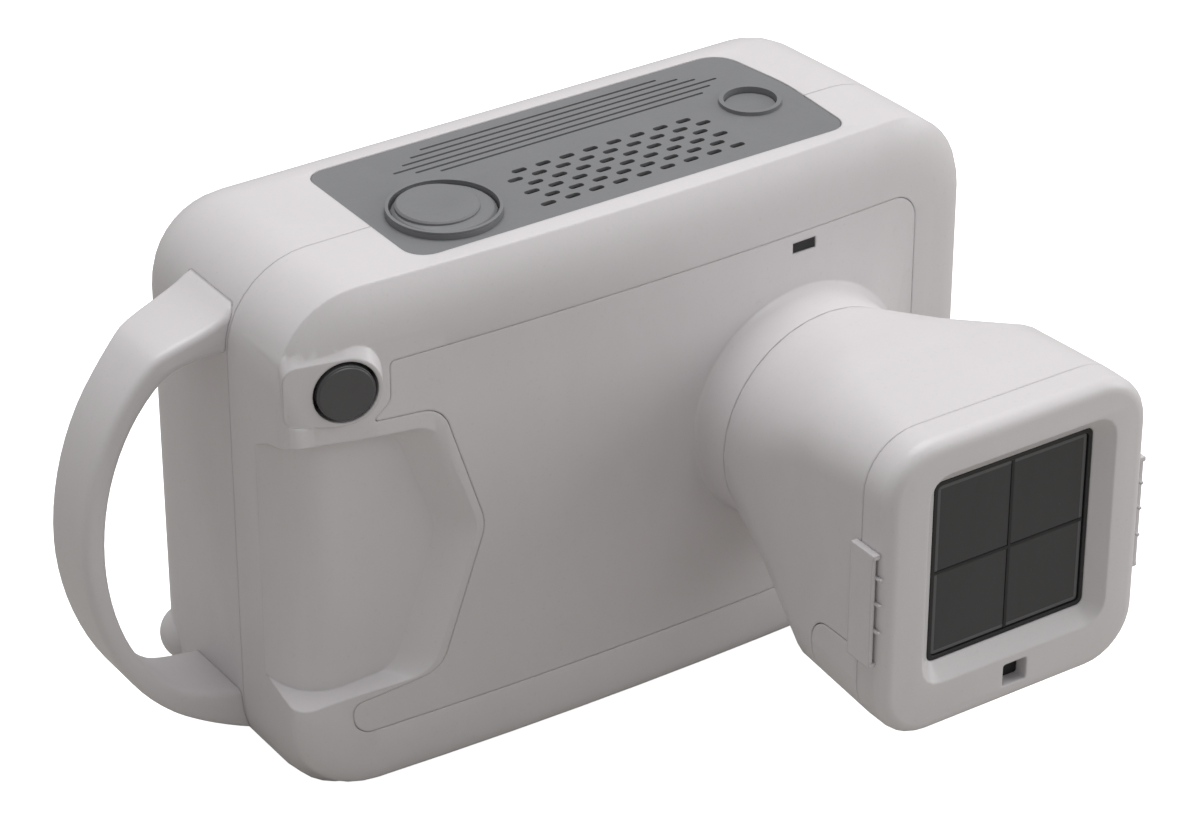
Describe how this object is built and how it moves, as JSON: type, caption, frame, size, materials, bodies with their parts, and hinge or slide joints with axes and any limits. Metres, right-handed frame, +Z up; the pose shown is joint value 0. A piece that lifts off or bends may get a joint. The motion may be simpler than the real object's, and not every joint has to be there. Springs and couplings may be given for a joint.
{
  "type": "handheld intraoral x-ray unit",
  "caption": "Handheld dental x-ray generator: flat rounded body with hand strap and trigger, grey control panel on top, and a square beam head with a cross-hair window.",
  "frame": {"origin": "middle of the body's flat underside, on the surface the unit stands on", "axes": "+Z up, -Y is the way the beam leaves, -X is the side with the hand strap"},
  "size_m": [0.2689, 0.1887, 0.1626],
  "materials": {
    "shell_plastic": "satin moulded plastic, warm light grey",
    "panel_plastic": "fine-textured mid grey plastic",
    "trigger_plastic": "dark grey satin plastic",
    "black_plastic": "black moulded plastic",
    "smoked_glass": "smoked polished window",
    "tube_glass": "clear polished glass",
    "mirror_coat": "front-silvered",
    "sheet_steel": "plain sheet steel",
    "filter_aluminium": "plain rolled",
    "anode_copper": "copper with a worked face",
    "lead_lining": "dull lead grey",
    "circuit_board": "green solder mask",
    "battery_wrap": "shrink wrap, dark blue",
    "fastener_steel": "zinc plated"
  },
  "bodies": {
    "body": {"rear_shell": "shell_plastic", "hand_strap": "shell_plastic", "front_shell": "shell_plastic", "front_panel": "shell_plastic", "top_panel": "panel_plastic", "dial_collar": "panel_plastic", "dial_trim": "panel_plastic", "status_lens": "black_plastic", "hood_shell": "shell_plastic", "lower_cover": "shell_plastic", "bezel": "shell_plastic", "window_gasket": "black_plastic", "window_pane": "smoked_glass", "crosshair": "black_plastic", "left_rail": "shell_plastic", "right_rail": "shell_plastic", "sensor_lens": "black_plastic", "chassis_plate": "sheet_steel", "xray_tank": "lead_lining", "tube_insert": "tube_glass", "tube_anode": "anode_copper", "beam_port": "lead_lining", "filter_plate": "filter_aluminium", "mirror_plate": "mirror_coat", "mirror_frame": "black_plastic", "lamp_module": "black_plastic", "battery_pack": "battery_wrap", "control_board": "circuit_board", "power_board": "circuit_board", "display_module": "black_plastic", "display_glass": "smoked_glass", "speaker": "black_plastic", "vent_mesh": "black_plastic", "dial_encoder": "sheet_steel", "power_switch": "black_plastic", "trigger_switch": "black_plastic", "status_board": "circuit_board", "shell_screws": "fastener_steel", "head_screws": "fastener_steel", "charge_port": "black_plastic"},
    "dial": {"dial_knob": "panel_plastic"},
    "power": {"power_button": "panel_plastic"},
    "trigger": {"trigger_button": "trigger_plastic", "trigger_spring": "fastener_steel"}
  },
  "joints": [
    {"name": "trigger_press", "type": "slide", "parent": "body", "child": "trigger", "axis": [0.225, 0.9744, 0], "range_m": [0, 0.0022], "stiffness_N_per_m": 900, "springref_m": -0.0015},
    {"name": "power_press", "type": "slide", "parent": "body", "child": "power", "axis": [0, 0, -1], "range_m": [0, 0.0008], "stiffness_N_per_m": 1200, "springref_m": -0.001},
    {"name": "dial_turn", "type": "hinge", "parent": "body", "child": "dial", "pos_m": [-0.0459, -0.0164, 0.1598], "axis": [0, 0, 1], "continuous": true}
  ]
}
